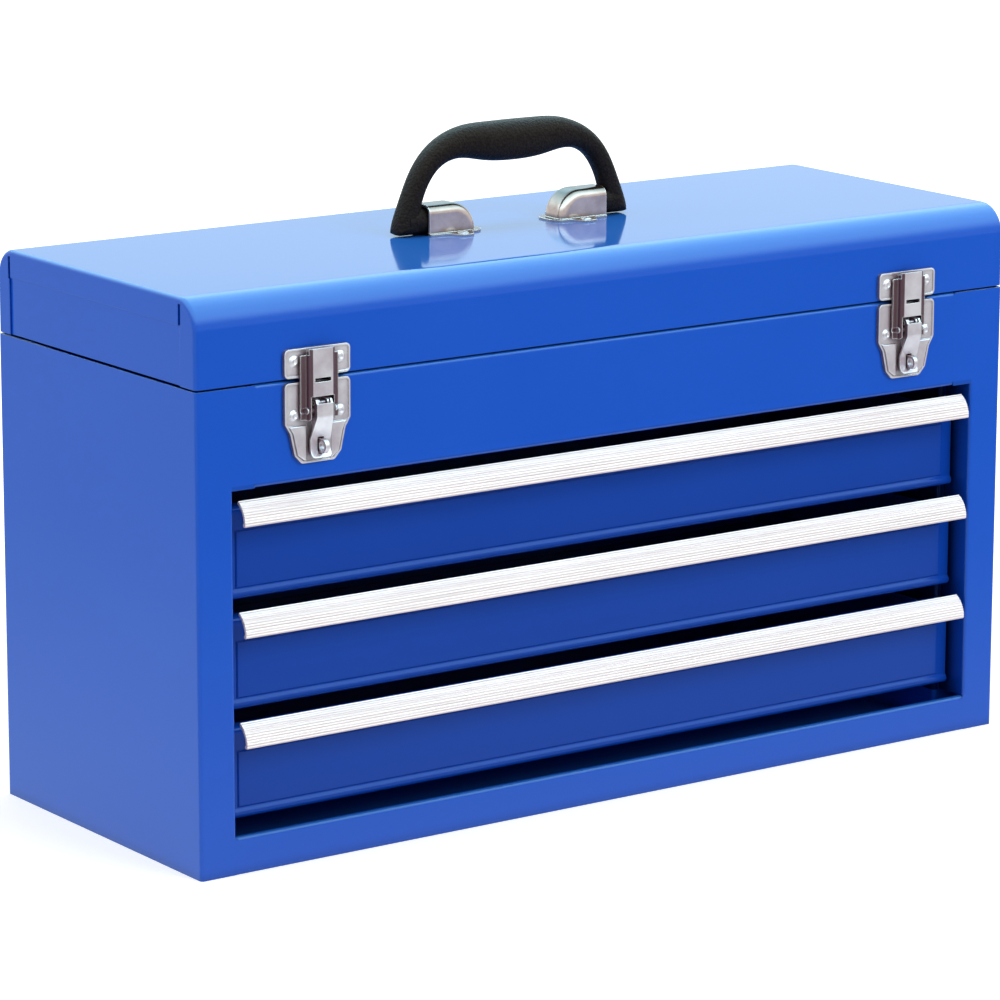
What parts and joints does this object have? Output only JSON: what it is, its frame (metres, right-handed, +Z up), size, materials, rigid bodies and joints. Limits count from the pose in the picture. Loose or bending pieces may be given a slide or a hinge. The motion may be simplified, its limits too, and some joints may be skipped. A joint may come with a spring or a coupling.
{
  "type": "portable tool box with drawers",
  "caption": "Steel tool box with full-width drawers on slides below a hinged lid with a top compartment, draw latches and a swinging carrying handle.",
  "frame": {"origin": "centre of the painted case's footprint, on the surface that the box stands on", "axes": "+X to the right seen from the front, +Y to the back, +Z up; the drawers open towards -Y"},
  "size_m": [0.51, 0.2064, 0.3438],
  "materials": {
    "blue_paint": "gloss",
    "drawer_blue_paint": "gloss",
    "satin_aluminium": "satin",
    "bright_nickel": "polished",
    "zinc_steel": "satin",
    "black_plastic": "textured"
  },
  "bodies": {
    "case": {"side_panel_left": "blue_paint", "side_panel_right": "blue_paint", "back_panel": "blue_paint", "bottom_panel": "blue_paint", "upper_front_panel": "blue_paint", "lower_front_rail": "blue_paint", "tray_floor": "blue_paint", "slide_wall_left": "blue_paint", "slide_wall_right": "blue_paint", "case_rails_left": "zinc_steel", "case_rails_right": "zinc_steel", "hinge_case_leaf": "blue_paint", "hinge_pin": "zinc_steel", "latch_base_left": "bright_nickel", "latch_base_right": "bright_nickel", "latch_staple_left": "bright_nickel", "latch_staple_right": "bright_nickel", "latch_lever_pin_left": "bright_nickel", "latch_lever_pin_right": "bright_nickel", "latch_base_rivets": "bright_nickel"},
    "lid": {"lid_skin": "blue_paint", "lid_end_left": "blue_paint", "lid_end_right": "blue_paint", "hinge_lid_leaf": "blue_paint", "latch_keeper_left": "bright_nickel", "latch_keeper_right": "bright_nickel", "latch_keeper_rivets": "bright_nickel", "handle_cup_left": "bright_nickel", "handle_cup_right": "bright_nickel", "handle_cup_rivets": "bright_nickel"},
    "handle": {"handle_grip": "black_plastic"},
    "drawer_top": {"drawer_top_pan": "drawer_blue_paint", "drawer_top_front": "drawer_blue_paint", "drawer_top_pull": "satin_aluminium", "drawer_top_rail_left": "zinc_steel", "drawer_top_rail_right": "zinc_steel"},
    "drawer_middle": {"drawer_middle_pan": "drawer_blue_paint", "drawer_middle_front": "drawer_blue_paint", "drawer_middle_pull": "satin_aluminium", "drawer_middle_rail_left": "zinc_steel", "drawer_middle_rail_right": "zinc_steel"},
    "drawer_bottom": {"drawer_bottom_pan": "drawer_blue_paint", "drawer_bottom_front": "drawer_blue_paint", "drawer_bottom_pull": "satin_aluminium", "drawer_bottom_rail_left": "zinc_steel", "drawer_bottom_rail_right": "zinc_steel"},
    "latch_lever_body_left": {"latch_lever_left": "bright_nickel"},
    "latch_strap_body_left": {"latch_strap_left": "bright_nickel", "latch_strap_pins_left": "bright_nickel"},
    "latch_lever_body_right": {"latch_lever_right": "bright_nickel"},
    "latch_strap_body_right": {"latch_strap_right": "bright_nickel", "latch_strap_pins_right": "bright_nickel"}
  },
  "joints": [
    {"name": "lid_hinge", "type": "hinge", "parent": "case", "child": "lid", "pos_m": [0, 0.098, 0.2444], "axis": [-1, 0, 0], "range_deg": [0, 100]},
    {"name": "handle_swing", "type": "hinge", "parent": "lid", "child": "handle", "pos_m": [0, 0.004, 0.2959], "axis": [1, 0, 0], "range_deg": [-70, 70]},
    {"name": "drawer_top_slide", "type": "slide", "parent": "case", "child": "drawer_top", "axis": [0, -1, 0], "range_m": [0, 0.125]},
    {"name": "drawer_middle_slide", "type": "slide", "parent": "case", "child": "drawer_middle", "axis": [0, -1, 0], "range_m": [0, 0.125]},
    {"name": "drawer_bottom_slide", "type": "slide", "parent": "case", "child": "drawer_bottom", "axis": [0, -1, 0], "range_m": [0, 0.125]},
    {"name": "latch_left_lever", "type": "hinge", "parent": "case", "child": "latch_lever_body_left", "pos_m": [-0.1866, -0.1002, 0.2325], "axis": [-1, 0, 0], "range_deg": [0, 90]},
    {"name": "latch_left_strap", "type": "hinge", "parent": "latch_lever_body_left", "child": "latch_strap_body_left", "pos_m": [-0.1866, -0.0997, 0.2289], "axis": [1, 0, 0], "range_deg": [0, 99]},
    {"name": "latch_right_lever", "type": "hinge", "parent": "case", "child": "latch_lever_body_right", "pos_m": [0.1866, -0.1002, 0.2325], "axis": [-1, 0, 0], "range_deg": [0, 90]},
    {"name": "latch_right_strap", "type": "hinge", "parent": "latch_lever_body_right", "child": "latch_strap_body_right", "pos_m": [0.1866, -0.0997, 0.2289], "axis": [1, 0, 0], "range_deg": [0, 99]}
  ],
  "couplings": [
    {"joint": "latch_left_strap", "follows": "latch_left_lever", "ratio": 1.1},
    {"joint": "latch_right_strap", "follows": "latch_right_lever", "ratio": 1.1}
  ]
}
